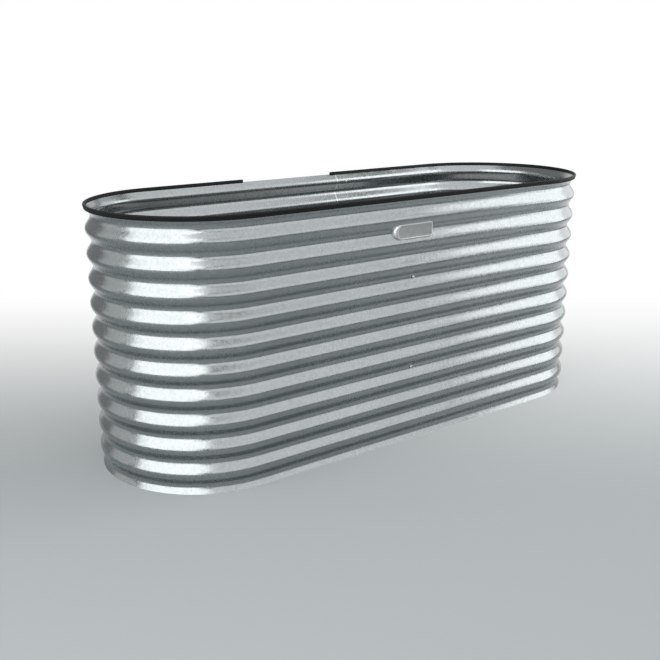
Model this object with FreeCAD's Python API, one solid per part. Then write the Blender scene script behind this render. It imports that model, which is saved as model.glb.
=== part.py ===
import FreeCAD, Part

import math
import os

# Raised garden bed: one sheet of corrugated galvanised steel, rolled to a long loop with round ends and
# riveted at a lap in the back wall. A rubber edging strip covers its cut top edge, two flat-bar braces tie the
# long walls together, and a bare metal badge is held to the front wall by two studs.
# Millimetres. The origin is the centre of the footprint on the ground, +X along the length, the badge faces -Y.

# The corrugated sheet
BED_LENGTH = 1914.0  # over the crests of the two round ends
BED_WIDTH = 670.0  # over the crests of the two long walls
SHEET_HEIGHT = 813.0  # from the bottom edge to the top edge under the edging
SHEET_THICKNESS = 0.8
WAVE_PITCH = 76.2  # from crest to crest
WAVE_DEPTH = 17.0  # from crest to trough on one face
SHOULDER_REACH = 11.5  # up or down the sheet, from a crest or trough line to where its bend meets the flank
SHOULDER_DROP = 2.9  # in depth, over that reach
TOP_TROUGH_DROP = 28.4  # from the top edge down to the highest trough
END_FACETS = 16  # chords that stand for the half circle of each round end
ROUND_SIDES = 12  # of the shanks, heads and washers

# The riveted lap in the back wall
LAP_CENTRE = 197.0
LAP_WIDTH = 82.0
PLY_GAP = 0.1  # between the flanks of the two plies
JOGGLE_LENGTH = 120.0  # over which the outer ply steps out
JOGGLE_MARGIN = 20.0  # from the inner ply's end to the start of that step
RIVET_EVERY = 2  # one rivet in every second trough, from the highest
RIVET_SHANK = 4.8
RIVET_HEAD = 9.5
RIVET_DOME = 1.5
RIVET_TAIL = 7.0
RIVET_TAIL_LENGTH = 4.0
HEAD_CROWN = 0.55  # width of a rivet or bolt head's top, as a share of the head

# The rubber edging strip
EDGING_WIDTH = 11.0
EDGING_HEIGHT = 14.0  # along the slope of the sheet
EDGING_BEVEL = 2.8  # rounds its corners off
EDGING_GRIP = 4.0  # how far the sheet's edge reaches up its slot
EDGING_GAP_LEFT = -255.0  # the strip's two cut ends in the back wall
EDGING_GAP_RIGHT = 117.0

# The two braces and their bolts
BRACE_X = -22.0
UPPER_BRACE_TROUGH = 3  # troughs are counted down from the highest, which is number 0
LOWER_BRACE_TROUGH = 7
BRACE_BAR_WIDTH = 25.0
BRACE_BAR_THICKNESS = 3.0
BRACE_FOOT_HEIGHT = 32.0
BRACE_BEND_RADIUS = 3.0  # inside the bend of each foot
BOLT_SHANK = 6.0
BOLT_HEAD = 10.5
BOLT_HEAD_HEIGHT = 3.3
BOLT_SOCKET = 4.6  # across its six corners
BOLT_SOCKET_DEPTH = 1.9
BOLT_END = 2.0  # past its nut
BOLT_WASHER = 14.0
BOLT_WASHER_THICKNESS = 1.6
BOLT_NUT = 10.0  # across the flats
BOLT_NUT_HEIGHT = 5.0

# The badge on the front wall and what holds it
BADGE_X = -34.0
BADGE_TROUGH = 1
BADGE_LENGTH = 158.0
BADGE_HEIGHT = 46.0
BADGE_THICKNESS = 2.6
BADGE_RIM_WIDTH = 3.2
BADGE_RIM_HEIGHT = 1.0
BADGE_CORNER = 7.0
STUD_SPACING = 96.0
STUD = 4.0
STUD_END = 1.5
RETAINER = 12.0
RETAINER_THICKNESS = 0.6

# Clearances
SEAT_GAP = 0.1  # between two faces that rest on each other
HOLE_CLEARANCE = 0.2  # on the diameter of a hole round its shank or stud
SLOT_CLEARANCE = 0.2  # between the sheet and each side of the edging's slot

HALF_PITCH = WAVE_PITCH / 2
HALF_SHEET = SHEET_THICKNESS / 2
STRAIGHT = (BED_LENGTH - BED_WIDTH) / 2  # from the middle to the axis of a round end
MID_CREST = BED_WIDTH / 2 - HALF_SHEET  # from the long centre plane to the sheet's middle at a crest
MID_TROUGH = MID_CREST - WAVE_DEPTH
UP = FreeCAD.Vector(0, 0, 1)
OUT_BACK = FreeCAD.Vector(0, 1, 0)
OUT_FRONT = FreeCAD.Vector(0, -1, 0)


def vector(x, y, z):
    return FreeCAD.Vector(x, y, z)


def shift(shape, x, y=0.0, z=0.0):
    moved = shape.copy()
    moved.translate(vector(x, y, z))
    return moved


def trough_height(number):
    """Troughs are counted down from the highest, which is number 0."""
    return SHEET_HEIGHT - TOP_TROUGH_DROP - number * WAVE_PITCH


def trough_count():
    return int(trough_height(0) // WAVE_PITCH) + 1


def middle_line():
    """The sheet's middle from below the ground to past its top edge, as (distance from the centre plane, height)."""
    points = []
    for number in range(trough_count(), -2, -1):
        z = trough_height(number)
        points += [
            (MID_TROUGH, z),
            (MID_TROUGH + SHOULDER_DROP, z + SHOULDER_REACH),
            (MID_CREST - SHOULDER_DROP, z + HALF_PITCH - SHOULDER_REACH),
            (MID_CREST, z + HALF_PITCH),
            (MID_CREST - SHOULDER_DROP, z + HALF_PITCH + SHOULDER_REACH),
            (MID_TROUGH + SHOULDER_DROP, z + WAVE_PITCH - SHOULDER_REACH),
        ]
    return points


def moved_out(points, distance):
    """A line beside the given one, with its corners mitred."""
    normals = []
    for (r1, z1), (r2, z2) in zip(points, points[1:]):
        length = math.hypot(r2 - r1, z2 - z1)
        normals.append(((z2 - z1) / length, (r1 - r2) / length))
    beside = []
    for (r, z), before, after in zip(points, normals[:1] + normals, normals + normals[-1:]):
        miter_r, miter_z = before[0] + after[0], before[1] + after[1]
        scale = 2 * distance / (miter_r**2 + miter_z**2)
        beside.append((r + miter_r * scale, z + miter_z * scale))
    return beside


def reach_at(points, z):
    """How far a line stands from the centre plane at one height."""
    for (r1, z1), (r2, z2) in zip(points, points[1:]):
        if z1 <= z <= z2:
            return r1 + (r2 - r1) * (z - z1) / (z2 - z1)
    raise ValueError("the line does not reach that height")


def outer_face():
    return moved_out(middle_line(), HALF_SHEET)


def inner_face():
    return moved_out(middle_line(), -HALF_SHEET)


def trimmed(points):
    """A line cut level at the ground and at the sheet's top edge."""
    kept = [(r, z) for r, z in points if 0 < z < SHEET_HEIGHT]
    return [(reach_at(points, 0), 0.0)] + kept + [(reach_at(points, SHEET_HEIGHT), SHEET_HEIGHT)]


def loop_stations(first_x, last_x):
    """Where a section stands round the loop, as (x of its axis, degrees that it faces, step outwards).

    The loop starts in the back wall at first_x, goes by the right end, the front and the left end, and comes
    back to last_x.
    """
    turns = [180.0 * i / END_FACETS for i in range(END_FACETS + 1)]
    right = [(STRAIGHT, 90.0 - turn, 0.0) for turn in turns]
    left = [(-STRAIGHT, -90.0 - turn, 0.0) for turn in turns]
    return [(first_x, 90.0, 0.0)] + right + left + [(last_x, -270.0, 0.0)]


def swept(section, stations):
    """A solid whose section, a list of (reach, height), stands at each station in turn."""
    rings = []
    for axis_x, degrees, step in stations:
        out_x, out_y = math.cos(math.radians(degrees)), math.sin(math.radians(degrees))
        rings.append([vector(axis_x + out_x * (r + step), out_y * (r + step), z) for r, z in section])
    faces = [Part.Face(Part.makePolygon(ring + ring[:1])) for ring in (rings[0], rings[-1])]
    for ring, following in zip(rings, rings[1:]):
        for i in range(len(section)):
            corners = [ring[i - 1], ring[i], following[i], following[i - 1], ring[i - 1]]
            faces.append(Part.Face(Part.makePolygon(corners)))
    shell = Part.makeCompound(faces)
    shell.sewShape()
    solid = Part.Solid(shell.Shells[0])
    if solid.Volume < 0:
        solid.reverse()
    return solid


def drilled(shape, holes):
    return shape.cut(Part.makeCompound(holes))


def prism(width, sides, height):
    """An upright bar of regular section on the ground, width across its corners."""
    turns = [math.radians(360 * i / sides) for i in range(sides + 1)]
    corners = [vector(width / 2 * math.cos(turn), width / 2 * math.sin(turn), 0) for turn in turns]
    return Part.Face(Part.makePolygon(corners)).extrude(vector(0, 0, height))


def rod(diameter, height):
    return prism(diameter, ROUND_SIDES, height)


def aimed(shape, direction, x, out, z):
    """Stand a shape made along +Z on a wall, with its top pointing out of that wall."""
    placed = shape.copy()
    placed.Placement = FreeCAD.Placement(vector(x, 0, z) + direction * out, FreeCAD.Rotation(UP, direction))
    return placed


def hole_across(direction, x, z, diameter):
    """A cutter through one long wall."""
    return aimed(rod(diameter + HOLE_CLEARANCE, 3 * WAVE_DEPTH), direction, x, MID_TROUGH - WAVE_DEPTH, z)


def rivet_heights():
    return [trough_height(number) for number in range(0, trough_count(), RIVET_EVERY)]


def brace_heights():
    return [trough_height(UPPER_BRACE_TROUGH), trough_height(LOWER_BRACE_TROUGH)]


def stud_places():
    return [BADGE_X - STUD_SPACING / 2, BADGE_X + STUD_SPACING / 2]


def ply_step():
    """How far the outer ply stands out of the inner one: its own thickness, measured through a flank."""
    flank_rise = WAVE_DEPTH - 2 * SHOULDER_DROP
    flank_reach = HALF_PITCH - 2 * SHOULDER_REACH
    return (SHEET_THICKNESS + PLY_GAP) * math.hypot(flank_rise, flank_reach) / flank_reach


def wall_sheet():
    """The whole wall: the inner ply ends at the lap's left edge, and the outer ply steps out over it."""
    inner_end = LAP_CENTRE - LAP_WIDTH / 2
    outer_end = LAP_CENTRE + LAP_WIDTH / 2
    step_end = inner_end - JOGGLE_MARGIN
    stations = loop_stations(inner_end, step_end - JOGGLE_LENGTH)
    stations += [(step_end, -270.0, ply_step()), (outer_end, -270.0, ply_step())]
    section = trimmed(outer_face()) + trimmed(inner_face())[::-1]
    sheet = swept(section, stations)
    holes = [hole_across(OUT_BACK, LAP_CENTRE, z, RIVET_SHANK) for z in rivet_heights()]
    for z in brace_heights():
        holes.append(hole_across(OUT_FRONT, BRACE_X, z, BOLT_SHANK))
        holes.append(hole_across(OUT_BACK, BRACE_X, z, BOLT_SHANK))
    for x in stud_places():
        holes.append(hole_across(OUT_FRONT, x, trough_height(BADGE_TROUGH), STUD))
    return drilled(sheet, holes)


def edging_section():
    """A rubber bead with chamfered sides, slotted from below for the sheet's edge and leaning with it."""
    half_width, half_slot = EDGING_WIDTH / 2, HALF_SHEET + SLOT_CLEARANCE
    low = -EDGING_GRIP
    high = low + EDGING_HEIGHT
    bevel = EDGING_BEVEL
    right = [
        (half_slot, SLOT_CLEARANCE),
        (half_slot, low),
        (half_width - bevel, low),
        (half_width, low + bevel),
        (half_width, high - bevel),
        (half_width - bevel, high),
    ]
    left = [(-across, along) for across, along in reversed(right)]
    line = middle_line()
    top_reach = reach_at(line, SHEET_HEIGHT)
    lean = math.atan2(top_reach - reach_at(line, SHEET_HEIGHT - SHEET_THICKNESS), SHEET_THICKNESS)
    return [
        (
            top_reach + across * math.cos(lean) + along * math.sin(lean),
            SHEET_HEIGHT + along * math.cos(lean) - across * math.sin(lean),
        )
        for across, along in right + left
    ]


def edging_strip():
    return swept(edging_section(), loop_stations(EDGING_GAP_RIGHT, EDGING_GAP_LEFT))


def trough_inside():
    """From the centre plane to the inner face at a trough, where braces and washers stand."""
    return min(r for r, z in inner_face())


def seat_outside(half_width):
    """From the centre plane to what stands flat across a trough of the outer face, on its two edges."""
    return reach_at(outer_face(), trough_height(0) + half_width) + SEAT_GAP


def button(diameter, height):
    """A low rivet or bolt head, flat side down, with bevelled sides."""
    foot = rod(diameter, height).Faces
    rim = min(foot, key=lambda face: face.CenterOfMass.z).OuterWire
    crown = rim.copy().scale(HEAD_CROWN)
    return Part.makeLoft([rim, shift(crown, 0, 0, height)], True, True)


def ring(outside, bore, height):
    return rod(outside, height).cut(rod(bore, height))


def nut(across_flats, bore, height):
    return prism(across_flats * 2 / math.sqrt(3), 6, height).cut(rod(bore, height))


def lap_rivets():
    """Blind rivets through both plies, domed outside and bulged inside, one in each trough of the lap."""
    seat = seat_outside(RIVET_HEAD / 2) + ply_step()
    grip = seat - trough_inside() + SEAT_GAP
    shank = shift(rod(RIVET_SHANK, grip), 0, 0, -grip)
    tail = shift(rod(RIVET_TAIL, RIVET_TAIL_LENGTH), 0, 0, -grip - RIVET_TAIL_LENGTH)
    rivet = button(RIVET_HEAD, RIVET_DOME).fuse([shank, tail])
    return Part.makeCompound([aimed(rivet, OUT_BACK, LAP_CENTRE, seat, z) for z in rivet_heights()])


def brace(z):
    """A flat bar lying level, with both ends bent down into feet that stand flat against the walls."""
    reach = trough_inside() - SEAT_GAP
    inner_reach = reach - BRACE_BAR_THICKNESS
    top = BRACE_FOOT_HEIGHT / 2
    underside = top - BRACE_BAR_THICKNESS
    outline = [(reach, -top), (reach, top), (-reach, top), (-reach, -top), (-inner_reach, -top),
               (-inner_reach, underside), (inner_reach, underside), (inner_reach, -top), (reach, -top)]
    side = Part.Face(Part.makePolygon([vector(0, y, height) for y, height in outline]))
    bar = side.extrude(vector(BRACE_BAR_WIDTH, 0, 0))
    for corner_y, corner_z, radius in (
        (reach, top, BRACE_BEND_RADIUS + BRACE_BAR_THICKNESS),
        (inner_reach, underside, BRACE_BEND_RADIUS),
    ):
        bends = [
            edge for edge in bar.Edges
            if abs(abs(edge.CenterOfMass.y) - corner_y) < SEAT_GAP and abs(edge.CenterOfMass.z - corner_z) < SEAT_GAP
            and abs(edge.Length - BRACE_BAR_WIDTH) < SEAT_GAP
        ]
        bar = bar.makeFillet(radius, bends)
    bar = shift(bar, BRACE_X - BRACE_BAR_WIDTH / 2, 0, z)
    return drilled(bar, [hole_across(way, BRACE_X, z, BOLT_SHANK) for way in (OUT_FRONT, OUT_BACK)])


def on_braces(shape, out):
    """One copy at each end of each brace, standing out from the centre plane."""
    return Part.makeCompound(
        [aimed(shape, way, BRACE_X, out, z) for z in brace_heights() for way in (OUT_FRONT, OUT_BACK)]
    )


def brace_washer_face():
    """From the centre plane to the inner face of a brace's foot, less its seat."""
    return trough_inside() - SEAT_GAP - BRACE_BAR_THICKNESS - SEAT_GAP


def brace_bolts():
    """Button-head bolts put in from outside, each head across its trough."""
    seat = seat_outside(BOLT_HEAD / 2)
    nut_end = brace_washer_face() - BOLT_WASHER_THICKNESS - SEAT_GAP - BOLT_NUT_HEIGHT
    socket = shift(prism(BOLT_SOCKET, 6, BOLT_SOCKET_DEPTH), 0, 0, BOLT_HEAD_HEIGHT - BOLT_SOCKET_DEPTH)
    length = seat - nut_end + BOLT_END
    shank = shift(rod(BOLT_SHANK, length), 0, 0, -length)
    bolt = button(BOLT_HEAD, BOLT_HEAD_HEIGHT).cut(socket).fuse(shank)
    return on_braces(bolt, seat)


def brace_washers():
    washer = ring(BOLT_WASHER, BOLT_SHANK + HOLE_CLEARANCE, BOLT_WASHER_THICKNESS)
    return on_braces(washer, brace_washer_face() - BOLT_WASHER_THICKNESS)


def brace_nuts():
    piece = nut(BOLT_NUT, BOLT_SHANK + HOLE_CLEARANCE, BOLT_NUT_HEIGHT)
    return on_braces(piece, brace_washer_face() - BOLT_WASHER_THICKNESS - SEAT_GAP - BOLT_NUT_HEIGHT)


def badge_outline(inset):
    """The badge's outline as a face on the ground: one half-round end and one square end with rounded corners."""
    radius = BADGE_HEIGHT / 2 - inset
    corner = BADGE_CORNER - inset
    left = -BADGE_LENGTH / 2 + BADGE_HEIGHT / 2
    right = BADGE_LENGTH / 2 - inset
    slant = corner * (1 - math.sqrt(0.5))
    return Part.Face(
        Part.Wire(
            [
                Part.Arc(vector(left, radius, 0), vector(left - radius, 0, 0), vector(left, -radius, 0)).toShape(),
                Part.LineSegment(vector(left, -radius, 0), vector(right - corner, -radius, 0)).toShape(),
                Part.Arc(
                    vector(right - corner, -radius, 0),
                    vector(right - slant, slant - radius, 0),
                    vector(right, corner - radius, 0),
                ).toShape(),
                Part.LineSegment(vector(right, corner - radius, 0), vector(right, radius - corner, 0)).toShape(),
                Part.Arc(
                    vector(right, radius - corner, 0),
                    vector(right - slant, radius - slant, 0),
                    vector(right - corner, radius, 0),
                ).toShape(),
                Part.LineSegment(vector(right - corner, radius, 0), vector(left, radius, 0)).toShape(),
            ]
        )
    )


def on_studs(shape, out):
    z = trough_height(BADGE_TROUGH)
    return Part.makeCompound([aimed(shape, OUT_FRONT, x, out, z) for x in stud_places()])


def badge_seat():
    return seat_outside(BADGE_HEIGHT / 2)


def retainer_face():
    """From the centre plane to the retainers' inner face."""
    return trough_inside() - SEAT_GAP - RETAINER_THICKNESS


def badge_plate():
    """A cast plate with a raised rim round a bare field, and two studs on its back."""
    body = badge_outline(0).extrude(vector(0, 0, BADGE_THICKNESS))
    floor = BADGE_THICKNESS - BADGE_RIM_HEIGHT
    field = shift(badge_outline(BADGE_RIM_WIDTH).extrude(vector(0, 0, BADGE_THICKNESS)), 0, 0, floor)
    length = badge_seat() - retainer_face() + STUD_END
    studs = [shift(rod(STUD, length), x, 0, -length) for x in (-STUD_SPACING / 2, STUD_SPACING / 2)]
    badge = body.cut(field).fuse(studs)
    badge.rotate(vector(0, 0, 0), vector(1, 0, 0), 90)
    return shift(badge, BADGE_X, -badge_seat(), trough_height(BADGE_TROUGH))


def badge_retainers():
    """Square spring plates pushed over the studs from inside."""
    half = RETAINER / 2
    corners = [(-half, -half), (half, -half), (half, half), (-half, half), (-half, -half)]
    plate = Part.Face(Part.makePolygon([vector(x, y, 0) for x, y in corners])).extrude(UP * RETAINER_THICKNESS)
    return on_studs(plate.cut(rod(STUD + HOLE_CLEARANCE, RETAINER_THICKNESS)), retainer_face())


def pieces():
    upper, lower = brace_heights()
    return {
        "wall_sheet": wall_sheet(),
        "lap_rivets": lap_rivets(),
        "edging_strip": edging_strip(),
        "upper_brace": brace(upper),
        "lower_brace": brace(lower),
        "brace_bolts": brace_bolts(),
        "brace_washers": brace_washers(),
        "brace_nuts": brace_nuts(),
        "badge_plate": badge_plate(),
        "badge_retainers": badge_retainers(),
    }


def main():
    os.makedirs("parts", exist_ok=True)
    for name, shape in pieces().items():
        shape.exportStep(f"parts/{name}.step")
        print(name, len(shape.Solids), "solids", round(shape.Volume), "mm3", "valid" if shape.isValid() else "INVALID")


main()
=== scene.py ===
"""The looks of a raised garden bed: a loop of corrugated galvanised steel with round ends.

A rubber strip edges the cut top of the sheet, two flat bars tie the long walls together inside, and a bare
cast badge stands on the front wall. Everything is in metres, +Z up, with the badge facing -Y.
"""
import logging
import math
from dataclasses import dataclass
from enum import Enum
from typing import Callable, Iterable, Mapping, Optional, Sequence, Union

import bmesh
import bpy
from mathutils import Matrix, Vector


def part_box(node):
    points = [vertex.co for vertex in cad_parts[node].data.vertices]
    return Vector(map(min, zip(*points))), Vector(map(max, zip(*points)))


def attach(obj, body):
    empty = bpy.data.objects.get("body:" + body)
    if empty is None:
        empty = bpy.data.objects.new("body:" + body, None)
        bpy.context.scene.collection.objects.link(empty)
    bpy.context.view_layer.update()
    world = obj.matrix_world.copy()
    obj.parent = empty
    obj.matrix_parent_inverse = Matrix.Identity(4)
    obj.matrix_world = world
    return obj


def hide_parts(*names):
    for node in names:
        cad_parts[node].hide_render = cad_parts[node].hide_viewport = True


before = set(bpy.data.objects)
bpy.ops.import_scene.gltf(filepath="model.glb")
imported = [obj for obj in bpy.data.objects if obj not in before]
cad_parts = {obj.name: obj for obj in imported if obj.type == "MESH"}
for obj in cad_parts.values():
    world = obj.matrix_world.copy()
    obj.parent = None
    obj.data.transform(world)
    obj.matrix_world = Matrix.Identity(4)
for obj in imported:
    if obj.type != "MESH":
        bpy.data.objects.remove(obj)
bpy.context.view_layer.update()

MM = 0.001
BODY = "root"
SMOOTH_UNDER = math.radians(32)

log = logging.getLogger("garden_bed")

Colour = tuple[float, float, float]
Point = tuple[float, float]
Ring = list[Vector]
Reach = Callable[[float], float]


# Writing node trees


@dataclass(frozen=True)
class Term:
    """A number inside a node tree, on which ordinary arithmetic adds the nodes."""

    sketch: "Sketch"
    socket: bpy.types.NodeSocket

    def __add__(self, other: "Feed") -> "Term":
        """Add."""
        return self.sketch.math("ADD", self, other)

    def __sub__(self, other: "Feed") -> "Term":
        """Take away."""
        return self.sketch.math("SUBTRACT", self, other)

    def __rsub__(self, other: "Feed") -> "Term":
        """Take this away from a number."""
        return self.sketch.math("SUBTRACT", other, self)

    def __mul__(self, other: "Feed") -> "Term":
        """Multiply."""
        return self.sketch.math("MULTIPLY", self, other)

    def __truediv__(self, other: "Feed") -> "Term":
        """Divide."""
        return self.sketch.math("DIVIDE", self, other)

    def __rtruediv__(self, other: "Feed") -> "Term":
        """Divide a number by this."""
        return self.sketch.math("DIVIDE", other, self)


Feed = Union[Term, bpy.types.NodeSocket, float, int, bool, str, tuple, bpy.types.ID]
Key = Union[str, int]
Feeds = Mapping[Key, Feed]


class Sketch:
    """A node tree being written, with short calls for the nodes that come up most."""

    def __init__(self, tree: bpy.types.NodeTree) -> None:
        """Start on a tree.

        Args:
            tree: The tree that gets the nodes.
        """
        self.tree = tree

    def node(self, kind: str, feeds: Optional[Feeds] = None, **settings: object) -> bpy.types.Node:
        """Add one node.

        Args:
            kind: Its type.
            feeds: What goes into its sockets, by name or by number.
            settings: Its own properties.

        Returns:
            The node.
        """
        made = self.tree.nodes.new(kind)
        for name, value in settings.items():
            setattr(made, name, value)
        for key, value in (feeds or {}).items():
            self.feed(made.inputs[key], value)
        return made

    def feed(self, socket: bpy.types.NodeSocket, value: Feed) -> None:
        """Link a term or a socket to a socket, or set the socket to a plain value.

        Args:
            socket: The socket that takes it.
            value: What goes in.
        """
        if isinstance(value, Term):
            value = value.socket
        if isinstance(value, bpy.types.NodeSocket):
            self.tree.links.new(value, socket)
        else:
            socket.default_value = value

    def term(self, kind: str, feeds: Optional[Feeds] = None, out: Key = 0, **settings: object) -> Term:
        """Add one node and take one of its outputs as a term."""
        return Term(self, self.node(kind, feeds, **settings).outputs[out])

    def math(self, operation: str, *values: Feed) -> Term:
        """Add one Math node."""
        return self.term("ShaderNodeMath", dict(enumerate(values)), operation=operation)

    def sin(self, angle: Feed) -> Term:
        """The sine of an angle."""
        return self.math("SINE", angle)

    def cos(self, angle: Feed) -> Term:
        """The cosine of an angle."""
        return self.math("COSINE", angle)

    def between(self, value: Feed, low: Feed, high: Feed) -> Term:
        """A value kept between two limits."""
        return self.math("MINIMUM", self.math("MAXIMUM", value, low), high)

    def pick(self, test: Feed, no: Feed, yes: Feed) -> Term:
        """One of two numbers: the first where the test is 0, the second where it is 1."""
        return self.term("ShaderNodeMix", {0: test, 2: no, 3: yes})

    def vector(self, x: Feed, y: Feed, z: Feed) -> Term:
        """A vector from its three parts."""
        return self.term("ShaderNodeCombineXYZ", {0: x, 1: y, 2: z})

    def parts(self, vector: Feed) -> tuple[Term, Term, Term]:
        """The three parts of a vector."""
        split = self.node("ShaderNodeSeparateXYZ", {0: vector})
        return Term(self, split.outputs[0]), Term(self, split.outputs[1]), Term(self, split.outputs[2])

    def ramp(self, value: Feed, low: float, high: float, start: float = 0.0, end: float = 1.0) -> Term:
        """Take a value from one range to another with eased ends."""
        feeds = {"Value": value, "From Min": low, "From Max": high, "To Min": start, "To Max": end}
        return self.term("ShaderNodeMapRange", feeds, interpolation_type="SMOOTHSTEP")

    def noise(self, place: Feed, scale: float, detail: float) -> Term:
        """Soft noise between about 0 and 1."""
        return self.term("ShaderNodeTexNoise", {"Vector": place, "Scale": scale, "Detail": detail})

    def blend(self, share: Feed, first: Union[Colour, Term], second: Union[Colour, Term]) -> Term:
        """Mix two colours.

        Args:
            share: How much of the second colour there is.
            first: The first colour.
            second: The second colour.

        Returns:
            The mixed colour.
        """
        tints = [tint if isinstance(tint, Term) else (*tint, 1.0) for tint in (first, second)]
        feeds = {0: share, 6: tints[0], 7: tints[1]}
        return self.term("ShaderNodeMix", feeds, out=2, data_type="RGBA")


class Growth(Sketch):
    """A Geometry Nodes tree with named inputs, which is run once and kept as a plain mesh."""

    SOCKETS = {float: "NodeSocketFloat", int: "NodeSocketInt", bpy.types.Object: "NodeSocketObject",
               bpy.types.Material: "NodeSocketMaterial"}

    def __init__(self, name: str, **inputs: Union[float, int, bpy.types.ID]) -> None:
        """Start a tree.

        Args:
            name: The name of the piece that it makes.
            inputs: Its named inputs and their values. One of them is the finish.
        """
        super().__init__(bpy.data.node_groups.new(name, "GeometryNodeTree"))
        self.name = name
        self.values = inputs
        self.tree.interface.new_socket("Geometry", in_out="OUTPUT", socket_type="NodeSocketGeometry")
        for label, value in inputs.items():
            self.tree.interface.new_socket(label, in_out="INPUT", socket_type=self.SOCKETS[type(value)])
        self.given = self.node("NodeGroupInput")

    def size(self, label: str) -> Term:
        """One named input."""
        return Term(self, self.given.outputs[label])

    def points_line(self, count: Feed, place: Callable[[Term], Term]) -> Term:
        """A line of points whose places follow from their numbers.

        Args:
            count: How many points.
            place: Gives a point's place from its number.

        Returns:
            The points, joined by edges.
        """
        line = self.term("GeometryNodeMeshLine", {"Count": count})
        number = self.term("GeometryNodeInputIndex")
        return self.term("GeometryNodeSetPosition", {"Geometry": line, "Position": place(number)})

    def labelled(self, geometry: Term, label: str, value: Term) -> Term:
        """Keep a number on every point under a name."""
        feeds = {"Geometry": geometry, "Name": label, "Value": value}
        return self.term("GeometryNodeStoreNamedAttribute", feeds)

    def recall(self, label: str) -> Term:
        """The number kept on each point under a name."""
        return self.term("GeometryNodeInputNamedAttribute", {"Name": label}, data_type="FLOAT")

    def swept(self, path: Term, section: Term) -> Term:
        """A solid whose closed section follows a level path, with both ends closed.

        Args:
            path: The level curve.
            section: The closed curve.

        Returns:
            The solid.
        """
        upright = self.term("GeometryNodeSetCurveNormal", {"Curve": path}, mode="Z_UP")
        feeds = {"Curve": upright, "Profile Curve": section, "Fill Caps": True}
        return self.term("GeometryNodeCurveToMesh", feeds)

    def bake(self, geometry: Term) -> bpy.types.Object:
        """Close the tree, run it and keep the result.

        Args:
            geometry: What the tree makes.

        Returns:
            An object with a plain mesh and no modifier.
        """
        real = self.term("GeometryNodeRealizeInstances", {"Geometry": geometry})
        done = self.term("GeometryNodeSetMaterial", {"Geometry": real, "Material": self.size("Finish")})
        self.node("NodeGroupOutput", {"Geometry": done})
        piece = linked(bpy.data.objects.new(self.name, bpy.data.meshes.new(self.name)))
        modifier = piece.modifiers.new("growth", "NODES")
        modifier.node_group = self.tree
        for item in self.tree.interface.items_tree:
            if item.in_out == "INPUT":
                modifier[item.identifier] = self.values[item.name]
        depsgraph = bpy.context.evaluated_depsgraph_get()
        grown = piece.evaluated_get(depsgraph)
        mesh = bpy.data.meshes.new_from_object(grown, preserve_all_data_layers=True, depsgraph=depsgraph)
        piece.modifiers.clear()
        piece.data = mesh
        mesh.name = self.name
        return rounded_shading(piece)


# Making meshes


def linked(piece: bpy.types.Object) -> bpy.types.Object:
    """Put an object in the scene."""
    bpy.context.scene.collection.objects.link(piece)
    return piece


def rounded_shading(piece: bpy.types.Object) -> bpy.types.Object:
    """Shade a mesh smooth, apart from its real edges.

    Args:
        piece: The piece.

    Returns:
        The same piece.
    """
    piece.data.shade_smooth()
    piece.data.set_sharp_from_angle(angle=SMOOTH_UNDER)
    return piece


def skinned(name: str, rings: Sequence[Ring], finish: bpy.types.Material,
            endless: bool = False) -> bpy.types.Object:
    """A solid through rings of as many points each.

    Args:
        name: The name of the piece.
        rings: The rings in order. Seen from where they go, each turns anticlockwise.
        finish: Its material.
        endless: Whether the last ring joins the first again, as on a washer. Otherwise both ends are closed.

    Returns:
        The piece, in the scene.
    """
    size = len(rings[0])
    pairs = [(i, (i + 1) % len(rings)) for i in range(len(rings) if endless else len(rings) - 1)]
    faces = [
        (a * size + j, a * size + (j + 1) % size, b * size + (j + 1) % size, b * size + j)
        for a, b in pairs
        for j in range(size)
    ]
    if not endless:
        faces.append(tuple(range(size))[::-1])
        faces.append(tuple((len(rings) - 1) * size + j for j in range(size)))
    mesh = bpy.data.meshes.new(name)
    mesh.from_pydata([point for ring in rings for point in ring], [], faces)
    mesh.materials.append(finish)
    return rounded_shading(linked(bpy.data.objects.new(name, mesh)))


def turned_ring(reach: Reach, height: float, sides: int) -> Ring:
    """A ring round the Z axis.

    Args:
        reach: Gives the distance from the axis for each angle.
        height: Its height.
        sides: How many points it has.

    Returns:
        Its points, anticlockwise from above.
    """
    turns = [2 * math.pi * i / sides for i in range(sides)]
    return [Vector((reach(turn) * math.cos(turn), reach(turn) * math.sin(turn), height)) for turn in turns]


def turned_rings(line: Iterable[Point], sides: int) -> list[Ring]:
    """Round rings along the Z axis, through a line that is given as radius and height."""
    return [turned_ring(round_reach(radius), height, sides) for radius, height in line]


def dome(inner: float, outer: float, base: float, top: float, lifts: Iterable[float]) -> list[Point]:
    """The line of a dome with a flat top.

    Args:
        inner: The radius of its top.
        outer: The radius of its foot.
        base: The height of its foot.
        top: The height of its top.
        lifts: How far up its quarter turn each point lies, in degrees.

    Returns:
        Its points, as radius and height.
    """
    wide, tall = outer - inner, top - base
    turns = [math.radians(lift) for lift in lifts]
    return [(inner + wide * math.cos(turn), base + tall * math.sin(turn)) for turn in turns]


def round_reach(radius: float) -> Reach:
    """The reach of a circle."""
    return lambda turn: radius


def flat_sided_reach(across_flats: float, sides: int, limit: float = math.inf) -> Reach:
    """The reach of a regular polygon whose corners a circle may cut off.

    Args:
        across_flats: Its size over opposite flats.
        sides: How many flats it has.
        limit: The radius that no corner passes.

    Returns:
        A function from an angle to a distance.
    """
    step = 2 * math.pi / sides

    def reach(turn: float) -> float:
        """The distance at one angle."""
        return min(across_flats / 2 / math.cos((turn % step) - step / 2), limit)

    return reach


def outwards(rings: Iterable[Ring]) -> list[Ring]:
    """Turn rings made along +Z so that they are made along -Y, out of the front wall."""
    turn = Matrix.Rotation(math.radians(90), 4, "X")
    return [[turn @ point for point in ring] for ring in rings]


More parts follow.
